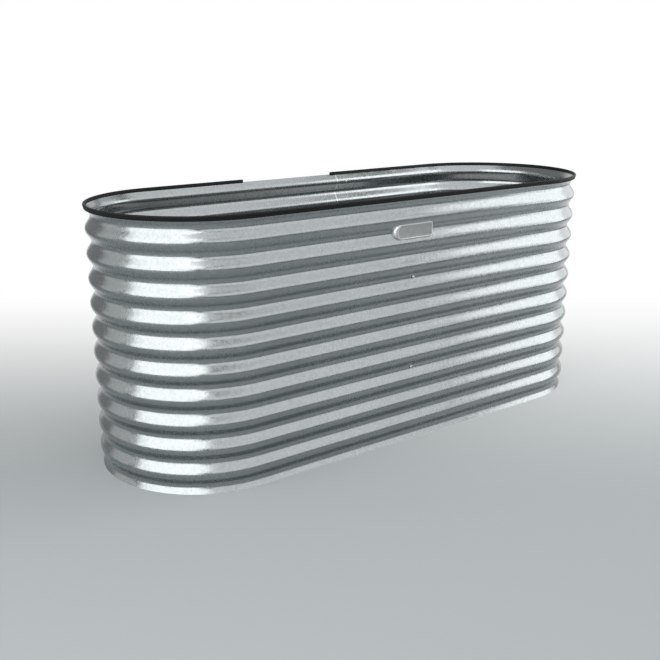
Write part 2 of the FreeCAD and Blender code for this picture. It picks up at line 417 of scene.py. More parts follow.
def moved(rings: Iterable[Ring], x: float, y: float, z: float) -> list[Ring]:
    """Move rings."""
    return [[point + Vector((x, y, z)) for point in ring] for ring in rings]


def arc(centre: Point, radius: float, start: float, end: float, steps: int) -> list[Point]:
    """Points on an arc in a plane.

    Args:
        centre: Its centre.
        radius: Its radius.
        start: The angle of its first point, in degrees.
        end: The angle of its last point, in degrees.
        steps: How many chords it has.

    Returns:
        Its points.
    """
    turns = [math.radians(start + (end - start) * i / steps) for i in range(steps + 1)]
    return [(centre[0] + radius * math.cos(turn), centre[1] + radius * math.sin(turn)) for turn in turns]


# Finishes


class Shine(Enum):
    """How a surface meets the light."""

    METAL = 1.0
    PLASTIC = 0.0


@dataclass(frozen=True)
class Finish:
    """What every finish has: a name, a colour, a shine and a roughness."""

    name: str
    colour: Colour
    roughness: float
    shine: Shine = Shine.METAL
    gloss: float = 0.5

    def begin(self) -> tuple[bpy.types.Material, Sketch, bpy.types.Node, Term]:
        """Start the material.

        Returns:
            The material, its sketch, its shader and the place on the piece.
        """
        material = bpy.data.materials.new(self.name)
        material.use_nodes = True
        sketch = Sketch(material.node_tree)
        shader = material.node_tree.nodes["Principled BSDF"]
        shader.inputs["Metallic"].default_value = self.shine.value
        shader.inputs["Specular IOR Level"].default_value = self.gloss
        shader.inputs["Base Color"].default_value = (*self.colour, 1.0)
        shader.inputs["Roughness"].default_value = self.roughness
        place = sketch.term("ShaderNodeTexCoord", out="Object")
        return material, sketch, shader, place

    def scaled(self, share: float) -> Colour:
        """The colour times a share, no brighter than white."""
        return tuple(min(part * share, 1.0) for part in self.colour)

    def bumped(self, sketch: Sketch, shader: bpy.types.Node, height: Term, depth: float) -> None:
        """Give the surface a relief.

        Args:
            sketch: The material's sketch.
            shader: Its shader.
            height: The relief, from 0 to 1.
            depth: How deep that is, in metres.
        """
        feeds = {"Height": height, "Distance": depth, "Strength": 1.0}
        sketch.feed(shader.inputs["Normal"], sketch.term("ShaderNodeBump", feeds, out="Normal"))


@dataclass(frozen=True)
class GalvanisedZinc(Finish):
    """Hot-dip zinc on rolled sheet: small frost-like grains, roll marks across the sheet and a dull bloom.

    The roll marks and the light band at the inner ply's sheared end follow the sheet's own UV map. The band
    is partly bare cut metal and partly a painted highlight.
    """

    darkest: float = 0.5
    lightest: float = 1.5
    grain: float = 150.0
    grain_contrast: float = 0.12
    grain_relief: float = 0.12
    grain_roughness: float = 0.05
    bloom: float = 0.14
    bloom_scale: float = 5.0
    bloom_roughness: float = 0.10
    speckle: float = 1.2e-5
    speckle_scale: float = 620.0
    speckle_contrast: float = 0.05
    ripple: float = 7.0e-5
    roll_scale: float = 170.0
    roll_stretch: float = 0.12
    roll_relief: float = 0.9
    follows_sheet: bool = False
    cut_at: float = 0.0
    cut_margin: float = 3.0 * MM
    cut_core: float = 0.6
    cut_and_highlight_colour: Colour = (0.86, 0.87, 0.87)

    def material(self) -> bpy.types.Material:
        """Make the material.

        Returns:
            The material.
        """
        material, sketch, shader, place = self.begin()
        grains = sketch.node("ShaderNodeTexVoronoi", {"Vector": place, "Scale": self.grain})
        tone, hue, _ = sketch.parts(grains.outputs["Color"])
        patches = sketch.noise(place, self.bloom_scale, detail=3.0)
        fine = sketch.noise(place, self.speckle_scale, detail=1.0)
        swing = (tone - 0.5) * self.grain_contrast + (patches - 0.5) * self.bloom
        share = swing + (fine - 0.5) * self.speckle_contrast + 0.5
        colour = sketch.blend(share, self.scaled(self.darkest), self.scaled(self.lightest))
        low, high = self.roughness - self.grain_roughness, self.roughness + self.grain_roughness
        rough = sketch.ramp(hue, 0.0, 1.0, low, high)
        sketch.feed(shader.inputs["Roughness"], rough + (patches - 0.5) * self.bloom_roughness)
        relief = fine * (self.speckle / self.ripple) + tone * self.grain_relief
        if self.follows_sheet:
            along, rise, _ = sketch.parts(sketch.term("ShaderNodeUVMap", uv_map="UVMap"))
            rolled = sketch.vector(along, rise * self.roll_stretch, 0.0)
            relief = relief + sketch.noise(rolled, self.roll_scale, detail=1.0) * self.roll_relief
            # Painted highlight: a light band along the inner ply's sheared end, partly bare cut metal, partly
            # a painted glint.
            from_cut = sketch.math("ABSOLUTE", along - self.cut_at)
            cut = sketch.ramp(from_cut, self.cut_margin * self.cut_core, self.cut_margin, 1.0, 0.0)
            colour = sketch.blend(cut, colour, self.cut_and_highlight_colour)
        sketch.feed(shader.inputs["Base Color"], colour)
        self.bumped(sketch, shader, relief, self.ripple)
        return material


@dataclass(frozen=True)
class ExtrudedRubber(Finish):
    """Black rubber with a fine grain, duller and shinier patches and a little dust on top."""

    grain: float = 900.0
    patch_scale: float = 14.0
    patch_roughness: float = 0.16
    patch_relief: float = 2.0
    dust: Colour = (0.045, 0.048, 0.048)
    dust_share: float = 0.25
    dust_facing: tuple[float, float] = (0.4, 1.0)
    dust_patches: tuple[float, float] = (0.42, 0.72)
    relief: float = 6.0e-5

    def material(self) -> bpy.types.Material:
        """Make the material.

        Returns:
            The material.
        """
        material, sketch, shader, place = self.begin()
        fine = sketch.noise(place, self.grain, detail=2.0)
        patches = sketch.noise(place, self.patch_scale, detail=3.0)
        _, _, facing_up = sketch.parts(sketch.term("ShaderNodeNewGeometry", out="Normal"))
        settled = sketch.ramp(facing_up, *self.dust_facing) * sketch.ramp(patches, *self.dust_patches)
        tone = sketch.blend(settled * self.dust_share, self.colour, self.dust)
        sketch.feed(shader.inputs["Base Color"], tone)
        smoothest = self.roughness - self.patch_roughness / 2
        sketch.feed(shader.inputs["Roughness"], patches * self.patch_roughness + smoothest)
        self.bumped(sketch, shader, fine + patches * self.patch_relief, self.relief)
        return material


@dataclass(frozen=True)
class CastAlloy(Finish):
    """Die-cast metal: a fine sandy field, and a raised rim that handling has polished.

    field_reach is how far the field lies from the bed's long centre plane.
    """

    field_reach: float = 0.0
    darkest: float = 0.8
    lightest: float = 1.2
    rim_colour: Colour = (0.78, 0.79, 0.80)
    rim_roughness: float = 0.32
    rim_fade: tuple[float, float] = (0.08 * MM, 0.4 * MM)
    sand: float = 1400.0
    patch_scale: float = 60.0
    patch_roughness: float = 0.08
    field_relief: float = 1.25
    relief: float = 4.0e-5

    def material(self) -> bpy.types.Material:
        """Make the material.

        Returns:
            The material.
        """
        material, sketch, shader, place = self.begin()
        _, depth, _ = sketch.parts(place)
        off_field = sketch.math("ABSOLUTE", depth + self.field_reach)
        rim = sketch.ramp(off_field, *self.rim_fade)
        sand = sketch.noise(place, self.sand, detail=2.0)
        patches = sketch.noise(place, self.patch_scale, detail=3.0)
        field = sketch.blend(patches, self.scaled(self.darkest), self.scaled(self.lightest))
        sketch.feed(shader.inputs["Base Color"], sketch.blend(rim, field, self.rim_colour))
        rough = sketch.pick(rim, self.roughness, self.rim_roughness)
        sketch.feed(shader.inputs["Roughness"], rough + (patches - 0.5) * self.patch_roughness)
        self.bumped(sketch, shader, sand * (self.field_relief - rim), self.relief)
        return material


@dataclass(frozen=True)
class PlatedSteel(Finish):
    """Turned or pressed metal under a thin bright coat: ring marks from the tool and small stains."""

    tool_marks: float = 2200.0
    mark_stretch: tuple[float, float, float] = (1.0, 0.15, 1.0)
    stain: float = 0.25
    stain_darkness: float = 0.45
    stain_patches: tuple[float, float] = (0.5, 0.75)
    patch_scale: float = 240.0
    patch_roughness: float = 0.2
    relief: float = 1.5e-5

    def material(self) -> bpy.types.Material:
        """Make the material.

        Returns:
            The material.
        """
        material, sketch, shader, place = self.begin()
        patches = sketch.noise(place, self.patch_scale, detail=3.0)
        stretched = sketch.term("ShaderNodeMapping", {"Vector": place, "Scale": self.mark_stretch})
        marks = sketch.noise(stretched, self.tool_marks, detail=1.0)
        stained = sketch.ramp(patches, *self.stain_patches) * self.stain
        tone = sketch.blend(stained, self.colour, self.scaled(self.stain_darkness))
        sketch.feed(shader.inputs["Base Color"], tone)
        smoothest = self.roughness - self.patch_roughness / 2
        sketch.feed(shader.inputs["Roughness"], patches * self.patch_roughness + smoothest)
        self.bumped(sketch, shader, marks + patches, self.relief)
        return material


# The pieces


@dataclass(frozen=True)
class SheetShape:
    """The rolled sheet that every other piece seats on: a wavy section led round an oblong loop."""

    length: float
    width: float
    height: float
    thickness: float = 0.8 * MM
    pitch: float = 76.2 * MM
    depth: float = 17.0 * MM
    bend: float = 20.0 * MM
    top_trough_drop: float = 28.4 * MM
    lap_centre: float = 197.0 * MM
    lap_width: float = 82.0 * MM
    ply_step: float = 1.12 * MM

    @classmethod
    def of_node(cls, node: str) -> "SheetShape":
        """Read the overall sizes from the wall's CAD node.

        The lap makes its back reach further than its front, so the width is twice the front's reach.

        Args:
            node: The CAD node.

        Returns:
            The sheet's shape.
        """
        low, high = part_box(node)
        return cls(length=high.x - low.x, width=-2 * low.y, height=high.z)

    @property
    def lap_start(self) -> float:
        """From the middle of the back wall to the inner ply's end."""
        return self.lap_centre - self.lap_width / 2

    @property
    def straight(self) -> float:
        """From the middle of the bed to the axis of a round end."""
        return (self.length - self.width) / 2

    @property
    def crest_reach(self) -> float:
        """From the long centre plane to the sheet's middle at a crest."""
        return (self.width - self.thickness) / 2

    @property
    def trough_reach(self) -> float:
        """From the long centre plane to the sheet's middle at a trough."""
        return self.crest_reach - self.depth

    @property
    def flank_angle(self) -> float:
        """How far the straight flanks lean, for which the bends at crest and trough just meet them."""
        half, across = self.pitch / 2, 2 * self.bend - self.depth
        return math.atan2(half, across) - math.acos(2 * self.bend / math.hypot(half, across))

    @property
    def round_trip(self) -> float:
        """The length of the loop along its crests."""
        return 4 * self.straight + 2 * math.pi * self.crest_reach

    @property
    def top_trough(self) -> float:
        """The height of the highest trough."""
        return self.height - self.top_trough_drop

    def rise_from_trough(self, beside: float) -> float:
        """How far the middle of the sheet stands out of a trough.

        Args:
            beside: The distance up or down from the trough.

        Returns:
            The distance outwards.
        """
        half = self.pitch / 2
        beside = abs((beside + half) % self.pitch - half)
        near = min(beside, half - beside)
        bent = self.bend * math.sin(self.flank_angle)
        if near < bent:
            drop = self.bend - math.sqrt(self.bend**2 - near**2)
        else:
            drop = self.bend * (1 - math.cos(self.flank_angle)) + (near - bent) * math.tan(self.flank_angle)
        return drop if beside < half / 2 else self.depth - drop


def loop_place(sketch: Growth, distance: Term) -> tuple[Term, Term]:
    """Where a distance round the loop lies, from the middle of the back wall towards the right end.

    Args:
        sketch: A tree with the inputs Straight and Radius.
        distance: The distance, measured along the crests.

    Returns:
        The x of the axis that the wall stands round there, and the way that it faces, in radians from
        the back.
    """
    straight, radius = sketch.size("Straight"), sketch.size("Radius")
    half_turn = radius * math.pi
    front_start = straight + half_turn
    left_start = front_start + straight * 2
    back_start = left_start + half_turn
    right_turn = sketch.between((distance - straight) / radius, 0.0, math.pi)
    left_turn = sketch.between((distance - left_start) / radius, 0.0, math.pi)
    there = sketch.between(distance, 0.0, straight)
    back_again = sketch.between(distance - front_start, 0.0, straight * 2)
    beyond = sketch.math("MAXIMUM", distance - back_start, 0.0)
    return there - back_again + beyond, right_turn + left_turn


@dataclass
class CorrugatedWall:
    """The whole wall: one sheet whose ends lap and are riveted in the back wall."""

    sheet: SheetShape
    finish: bpy.types.Material
    stations: int = 196
    points_up: int = 206
    joggle_length: float = 120.0 * MM
    joggle_margin: float = 20.0 * MM
    unevenness: float = 0.5 * MM
    swell_scale: float = 4.5
    swell_middle: float = 0.55
    swell_share: float = 1.4
    dent_scale: float = 16.0
    dent_squash: float = 2.0
    dent_share: float = 0.7

    def build(self) -> bpy.types.Object:
        """Sweep the wavy section round the loop.

        Returns:
            The finished piece.
        """
        sheet = self.sheet
        lap_start = sheet.lap_start
        step_end = sheet.round_trip + lap_start - self.joggle_margin
        tree = Growth(
            "wall_sheet_steel", Straight=sheet.straight, Radius=sheet.crest_reach, Height=sheet.height,
            Thickness=sheet.thickness, Pitch=sheet.pitch, Depth=sheet.depth, Bend=sheet.bend,
            Flank=sheet.flank_angle, TroughHeight=sheet.top_trough, Start=lap_start,
            End=sheet.round_trip + lap_start + sheet.lap_width, StepEnd=step_end,
            StepLength=self.joggle_length, Step=sheet.ply_step, Unevenness=self.unevenness,
            Stations=self.stations, PointsUp=self.points_up, Finish=self.finish,
        )
        wall = tree.swept(self.path(tree), self.section(tree))
        return tree.bake(self.mapped(tree, self.uneven(tree, wall)))

    def path(self, tree: Growth) -> Term:
        """The level loop at the crests, with the outer ply's step near its end.

        Args:
            tree: The wall's tree.

        Returns:
            The curve, each point marked with its distance along the sheet.
        """
        start, end = tree.size("Start"), tree.size("End")

        def distance(number: Term) -> Term:
            """How far round a point lies."""
            return start + number * (end - start) / (tree.size("Stations") - 1)

        def place(number: Term) -> Term:
            """Where a point lies, from its number."""
            axis, facing = loop_place(tree, distance(number))
            gone = (distance(number) - tree.size("StepEnd")) / tree.size("StepLength") + 1.0
            reach = tree.size("Radius") + tree.size("Step") * tree.ramp(gone, 0.0, 1.0)
            return tree.vector(axis + tree.sin(facing) * reach, tree.cos(facing) * reach, 0.0)

        line = tree.points_line(tree.size("Stations"), place)
        marked = tree.labelled(line, "along", distance(tree.term("GeometryNodeInputIndex")))
        return tree.term("GeometryNodeMeshToCurve", {"Mesh": marked})

    def section(self, tree: Growth) -> Term:
        """The closed section of the sheet: up its outer face and down its inner one.

        Args:
            tree: The wall's tree.

        Returns:
            The curve, each point marked with its height.
        """
        count, pitch, bend, flank = (tree.size(label) for label in ("PointsUp", "Pitch", "Bend", "Flank"))
        half = pitch / 2

        def height(number: Term) -> Term:
            """The height of a point."""
            down = tree.math("GREATER_THAN", number, count - 0.5)
            step = tree.pick(down, number, count * 2 - 1 - number)
            return step * tree.size("Height") / (count - 1)

        def place(number: Term) -> Term:
            """Where a point lies: inwards from the crests, and down.

            Args:
                number: The point's number.

            Returns:
                Its place. On a slope, the half thickness is stretched so that the sheet stays evenly thick.
            """
            beside = tree.math("PINGPONG", height(number) - tree.size("TroughHeight"), half)
            near = tree.math("MINIMUM", beside, half - beside)
            bent = bend * tree.sin(flank)
            on_flank = tree.math("GREATER_THAN", near, bent)
            in_bend = tree.math("MINIMUM", near, bent)
            chord = tree.math("SQRT", bend * bend - in_bend * in_bend)
            flank_drop = bend * (1.0 - tree.cos(flank)) + (near - bent) * tree.math("TANGENT", flank)
            drop = tree.pick(on_flank, bend - chord, flank_drop)
            near_crest = tree.math("GREATER_THAN", beside, half / 2)
            inwards = tree.pick(near_crest, tree.size("Depth") - drop, drop)
            slant = tree.pick(on_flank, bend / chord, 1.0 / tree.cos(flank))
            side = tree.pick(tree.math("GREATER_THAN", number, count - 0.5), 0.5, -0.5)
            return tree.vector(inwards - side * slant * tree.size("Thickness"), height(number) * -1.0, 0.0)

        line = tree.points_line(count * 2, place)
        marked = tree.labelled(line, "rise", height(tree.term("GeometryNodeInputIndex")))
        curve = tree.term("GeometryNodeMeshToCurve", {"Mesh": marked})
        return tree.term("GeometryNodeSetSplineCyclic", {"Geometry": curve, "Cyclic": True})

    def uneven(self, tree: Growth, wall: Term) -> Term:
        """Push the sheet in and out a little, as rolled sheet is never quite true.

        Args:
            tree: The wall's tree.
            wall: The sheet.

        Returns:
            The uneven sheet.
        """
        place = tree.term("GeometryNodeInputPosition")
        x, y, z = tree.parts(place)
        beyond = x - tree.between(x, tree.size("Straight") * -1.0, tree.size("Straight"))
        out = tree.term("ShaderNodeVectorMath", {0: tree.vector(beyond, y, 0.0)}, operation="NORMALIZE")
        swell = tree.noise(place, self.swell_scale, detail=1.0) - self.swell_middle
        dents = tree.noise(tree.vector(x, y, z * self.dent_squash), self.dent_scale, detail=1.0) - 0.5
        amount = (swell * self.swell_share + dents * self.dent_share) * tree.size("Unevenness")
        push = tree.term("ShaderNodeVectorMath", {0: out, "Scale": amount}, operation="SCALE")
        return tree.term("GeometryNodeSetPosition", {"Geometry": wall, "Offset": push})

    def mapped(self, tree: Growth, wall: Term) -> Term:
        """Lay a UV map over the sheet: metres along it, and metres up.

        Args:
            tree: The wall's tree.
            wall: The sheet.

        Returns:
            The mapped sheet.
        """
        flat = tree.vector(tree.recall("along"), tree.recall("rise"), 0.0)
        feeds = {"Geometry": wall, "Name": "UVMap", "Value": flat}
        return tree.term("GeometryNodeStoreNamedAttribute", feeds, data_type="FLOAT2", domain="CORNER")


@dataclass
class EdgingStrip:
    """The rubber strip pushed over the cut top edge, with its two ends apart in the back wall."""

    sheet: SheetShape
    finish: bpy.types.Material
    width: float = 8.4 * MM
    height: float = 9.2 * MM
    grip: float = 5.4 * MM
    inner_grip: float = 1.6 * MM
    slot: float = 1.2 * MM
    slot_top: float = 0.2 * MM
    crown: float = 3.6 * MM
    lip: float = 1.3 * MM
    lean: float = math.radians(14.2)
    gap_left: float = -255.0 * MM
    gap_right: float = 133.0 * MM
    lip_steps: int = 4
    crown_steps: int = 7
    stations: int = 230
    unevenness: float = 0.7 * MM
    drop_scale: float = 6.0
    draw_scale: float = 9.0

    def build(self) -> bpy.types.Object:
        """Lead the section round the top edge.

        Returns:
            The finished piece.
        """
        sheet = self.sheet
        section = self.section()
        reach = sheet.trough_reach + sheet.rise_from_trough(sheet.top_trough_drop)
        tree = Growth(
            "edging_strip_rubber", Straight=sheet.straight, Radius=sheet.crest_reach, Reach=reach,
            Height=sheet.height, Start=self.gap_right, End=sheet.round_trip + self.gap_left,
            Unevenness=self.unevenness, Stations=self.stations, Section=section, Finish=self.finish,
        )
        loop = tree.term("GeometryNodeObjectInfo", {"Object": tree.size("Section")}, out="Geometry")
        profile = tree.term("GeometryNodeMeshToCurve", {"Mesh": loop})
        strip = tree.bake(tree.swept(self.path(tree), profile))
        bpy.data.objects.remove(section)
        return strip

    def section(self) -> bpy.types.Object:
        """The strip's closed section, inwards from the sheet's edge and down.

        Returns:
            A loop of edges, which goes when the strip is made.
        """
        inner = [(-across, along) for across, along in reversed(self.leg(self.inner_grip))]
        outline = self.leg(self.grip) + inner
        cos, sin = math.cos(self.lean), math.sin(self.lean)
        points = [(-(a * cos + b * sin), -(b * cos - a * sin), 0.0) for a, b in outline]
        mesh = bpy.data.meshes.new("edging_section")
        mesh.from_pydata(points, [(i, (i + 1) % len(points)) for i in range(len(points))], [])
        return linked(bpy.data.objects.new("edging_section", mesh))

    def leg(self, grip: float) -> list[Point]:
        """Half of the section, from the slot round the lip and the crown.

        Args:
            grip: How far it reaches down the sheet.

        Returns:
            Its points: across, and up from the sheet's edge.
        """
        half = self.width / 2
        line = [(self.slot / 2, self.slot_top), (self.slot / 2, -grip)]
        line += arc((half - self.lip, self.lip - grip), self.lip, -90, 0, self.lip_steps)
        return line + arc((half - self.crown, self.height - self.crown), self.crown, 0, 90, self.crown_steps)

    def path(self, tree: Growth) -> Term:
        """The loop along the sheet's edge, a little uneven because the strip was pushed on by hand.

        Args:
            tree: The strip's tree.

        Returns:
            The curve.
        """
        start, end = tree.size("Start"), tree.size("End")

        def place(number: Term) -> Term:
            """Where a point lies, from its number."""
            distance = start + number * (end - start) / (tree.size("Stations") - 1)
            axis, facing = loop_place(tree, distance)
            drop = tree.noise(tree.vector(distance, 0.0, 0.0), self.drop_scale, detail=2.0)
            draw = tree.noise(tree.vector(distance, 1.0, 0.0), self.draw_scale, detail=1.0)
            reach = tree.size("Reach") - draw * tree.size("Unevenness")
            height = tree.size("Height") - drop * tree.size("Unevenness")
            return tree.vector(axis + tree.sin(facing) * reach, tree.cos(facing) * reach, height)

        line = tree.points_line(tree.size("Stations"), place)
        return tree.term("GeometryNodeMeshToCurve", {"Mesh": line})


@dataclass
class WallPattern:
    """Copies of one small piece, which is made facing -Y, set out on the walls in a regular pattern."""

    name: str
    model: bpy.types.Object
    finish: bpy.types.Material
    first_x: float
    first_z: float
    reach: float
    rows: int
    step_x: float = 0.0
    step_z: float = 0.0
    first_turn: float = 0.0
    sides: int = 1
    spin: float = math.pi
    seed: int = 1

    def build(self) -> bpy.types.Object:
        """Set the copies out and take the model away.

        Returns:
            The copies as one mesh.
        """
        tree = Growth(
            self.name, Piece=self.model, Rows=self.rows, Sides=self.sides, FirstX=self.first_x,
            FirstZ=self.first_z, StepX=self.step_x, StepZ=self.step_z, Reach=self.reach,
            FirstTurn=self.first_turn, Spin=self.spin, Seed=self.seed, Finish=self.finish,
        )
        number = tree.term("GeometryNodeInputIndex")
        row = tree.math("FLOOR", (number + 0.5) / tree.size("Sides"))
        turn = tree.size("FirstTurn") + (number - row * tree.size("Sides")) * math.pi
        line = tree.term("GeometryNodeMeshLine", {"Count": tree.size("Rows") * tree.size("Sides")})
        place = tree.vector(
            tree.size("FirstX") + row * tree.size("StepX"),
            tree.cos(turn) * tree.size("Reach") * -1.0,
            tree.size("FirstZ") + row * tree.size("StepZ"),
        )
        points = tree.term("GeometryNodeSetPosition", {"Geometry": line, "Position": place})
        chance = {2: 0.0, 3: tree.size("Spin"), "Seed": tree.size("Seed")}
        spun = tree.term("FunctionNodeRandomValue", chance, out=1)
        piece = tree.term("GeometryNodeObjectInfo", {"Object": tree.size("Piece")}, out="Geometry")
        feeds = {"Points": points, "Instance": piece, "Rotation": tree.vector(0.0, spun, turn)}
        copies = tree.bake(tree.term("GeometryNodeInstanceOnPoints", feeds))
        bpy.data.objects.remove(self.model)
        return copies


@dataclass
class LapRivets:
    """Blind rivets that hold the lap shut, one in every second trough.

    tail_line goes up the tail: shares of its radius, and distances from its end. pin_line goes over the
    broken pin: shares of the bore's radius, and heights over the seat.
    """

    finish: bpy.types.Material
    node: str = "lap_rivets"
    rows: int = 6
    head: float = 9.5 * MM
    flange: float = 0.4 * MM
    edge: float = 0.1 * MM
    edge_height: float = 0.15 * MM
    dome: float = 1.5 * MM
    dome_lifts: tuple[float, ...] = (20, 38, 56, 74, 88)
    shank: float = 4.8 * MM
    tail: float = 7.0 * MM
    tail_length: float = 4.0 * MM
    tail_line: tuple[Point, ...] = ((0.7, 0.3 * MM), (1.0, 1.2 * MM), (1.0, 2.4 * MM))
    bore: float = 2.7 * MM
    bore_draft: float = 0.15 * MM
    bore_floor: float = 0.5 * MM
    pin: float = 0.6
    pin_line: tuple[Point, ...] = ((0.7, 0.45 * MM), (0.62, 0.9 * MM), (0.3, 1.05 * MM))
    sides: int = 32

    def build(self) -> bpy.types.Object:
        """Set the rivets out from their CAD node.

        Returns:
            The rivets as one mesh.
        """
        low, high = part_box(self.node)
        seat = high.y - self.dome
        grip = seat - low.y - self.tail_length
        rise = high.z - low.z - self.head
        return WallPattern(
            "lap_rivet_heads", self.model(grip), self.finish, first_x=(low.x + high.x) / 2,
            first_z=high.z - self.head / 2, reach=seat, rows=self.rows, step_z=-rise / (self.rows - 1),
            first_turn=math.pi,
        ).build()

    def model(self, grip: float) -> bpy.types.Object:
        """One rivet: a bulged tail, its shank, and a flanged dome with the broken pin in its bore.

        Args:
            grip: From the head's seat to where the tail begins.

        Returns:
            The rivet, facing -Y with its seat at the origin.
        """
        tail, shank, head, bore = self.tail / 2, self.shank / 2, self.head / 2, self.bore / 2
        end = grip + self.tail_length
        line = [(bore * self.pin, -end)] + [(tail * share, -end + along) for share, along in self.tail_line]
        line += [(shank, -grip), (shank, -self.edge)]
        line += [(head - self.edge, 0.0), (head, self.edge_height), (head, self.flange)]
        line += dome(bore, head, self.flange, self.dome, self.dome_lifts)
        line += [(bore - self.edge, self.dome - self.bore_draft), (bore - self.bore_draft, self.bore_floor)]
        line += [(bore * share, out) for share, out in self.pin_line]
        return skinned("rivet_model", outwards(turned_rings(line, self.sides)), self.finish)


@dataclass
class BraceFasteners:
    """The bolts, washers and nuts at both ends of both braces."""

    finish: bpy.types.Material
    head: float = 10.5 * MM
    head_height: float = 3.3 * MM
    head_edge: float = 0.2 * MM
    head_lifts: tuple[float, ...] = (15, 32, 50, 68, 90)
    socket: float = 4.0 * MM
    socket_rim: float = 0.9 * MM
    socket_depth: float = 1.9 * MM
    socket_chamfer: float = 0.15 * MM
    socket_point: float = 0.3 * MM
    shank: float = 6.0 * MM
    thread_pitch: float = 1.0 * MM
    thread_depth: float = 0.5 * MM
    thread_start: float = 0.3
    washer: float = 14.0 * MM
    washer_thickness: float = 1.6 * MM
    washer_clearance: float = 0.2 * MM
    washer_edge: float = 0.25 * MM
    nut: float = 10.0 * MM
    nut_height: float = 5.0 * MM
    nut_clearance: float = 0.1 * MM
    nut_countersink: float = 0.4 * MM
    nut_face: float = 0.96
    sides: int = 48

    def build(self) -> dict[str, bpy.types.Object]:
        """Set out each kind from its CAD node.

        Returns:
            The pieces, by the node that each stands for.
        """
        kinds = (
            ("brace_bolts", "brace_bolt_set", self.bolt, self.head, self.head_height, 11),
            ("brace_washers", "brace_washer_set", self.ring_washer, self.washer, self.washer_thickness, 12),
            ("brace_nuts", "brace_nut_set", self.hex_nut, self.nut, self.nut_height, 13),
        )
        return {
            node: self.set_out(node, name, model(), size, thickness, seed)
            for node, name, model, size, thickness, seed in kinds
        }

    def set_out(self, node: str, name: str, model: bpy.types.Object, size: float, thickness: float,
                seed: int) -> bpy.types.Object:
        """Put one kind of fastener at its four places.

        Args:
            node: The CAD node that says where they are.
            name: The name of the piece.
            model: One fastener, which is used up.
            size: The fastener's size in height.
            thickness: How far the fastener reaches outwards from its own origin.
            seed: The seed of its random turn.

        Returns:
            The four fasteners as one mesh.
        """
        low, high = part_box(node)
        drop = high.z - low.z - size
        return WallPattern(
            name, model, self.finish, first_x=(low.x + high.x) / 2, first_z=high.z - size / 2,
            reach=high.y - thickness, rows=2, step_z=-drop, sides=2, seed=seed,
        ).build()

    def bolt(self) -> bpy.types.Object:
        """One button-head bolt with a six-sided socket and a threaded shank, long enough for its nut.

        Returns:
            The bolt, facing -Y with its head's seat at the origin.
        """
        radius, shank, top, edge = self.head / 2, self.shank / 2, self.head_height, self.head_edge
        _, bolts_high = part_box("brace_bolts")
        _, nuts_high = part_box("brace_nuts")
        length = bolts_high.y - top - (nuts_high.y - self.nut_height) + 2 * self.thread_pitch
        line = [(shank - self.thread_depth * 1.4, -length)]
        for turn in range(int(length / self.thread_pitch) - 1):
            start = -length + (turn + self.thread_start) * self.thread_pitch
            line += [(shank - self.thread_depth, start), (shank, start + self.thread_pitch / 2)]
        line += [(shank, -edge), (radius - edge, 0.0), (radius, edge)]
        line += dome(self.socket / 2 + self.socket_rim, radius, edge, top, self.head_lifts)
        six = flat_sided_reach(self.socket, 6)
        floor = top - self.socket_depth
        recess = ((lambda turn: six(turn) + self.socket_chamfer, top), (six, top - edge), (six, floor),
                  (round_reach(self.socket / 4), floor - self.socket_point))
        rings = turned_rings(line, self.sides)
        rings += [turned_ring(reach, out, self.sides) for reach, out in recess]
        return skinned("bolt_model", outwards(rings), self.finish)

    def ring_washer(self) -> bpy.types.Object:
        """One flat washer with its edges broken.

        Returns:
            The washer, facing -Y with its inner face at the origin.
        """
        outer, bore = self.washer / 2, self.shank / 2 + self.washer_clearance
        thick, edge = self.washer_thickness, self.washer_edge
        line = [(bore, thick - edge), (bore, edge), (bore + edge, 0.0), (outer - edge, 0.0), (outer, edge),
                (outer, thick - edge), (outer - edge, thick), (bore + edge, thick)]
        return skinned("washer_model", outwards(turned_rings(line, self.sides)), self.finish, endless=True)

    def hex_nut(self) -> bpy.types.Object:
        """One six-sided nut, its corners turned off at both faces.

        Returns:
            The nut, facing -Y with its inner face at the origin.
        """
        bore, thick, sink = self.shank / 2 + self.nut_clearance, self.nut_height, self.nut_countersink
        corner = self.nut / math.sqrt(3)
        chamfer = ((1.0, 0.0), (0.5, 0.25 * MM), (0.0, 0.7 * MM))
        faces = [*chamfer, *((cut, thick - out) for cut, out in reversed(chamfer))]
        rings = turned_rings([(bore, thick - sink), (bore, sink), (bore + sink, 0.0)], self.sides)
        for cut, out in faces:
            limit = corner - cut * (corner - self.nut / 2 * self.nut_face)
            rings.append(turned_ring(flat_sided_reach(self.nut, 6, limit), out, self.sides))
        rings.append(turned_ring(round_reach(bore + sink), thick, self.sides))
        return skinned("nut_model", outwards(rings), self.finish, endless=True)


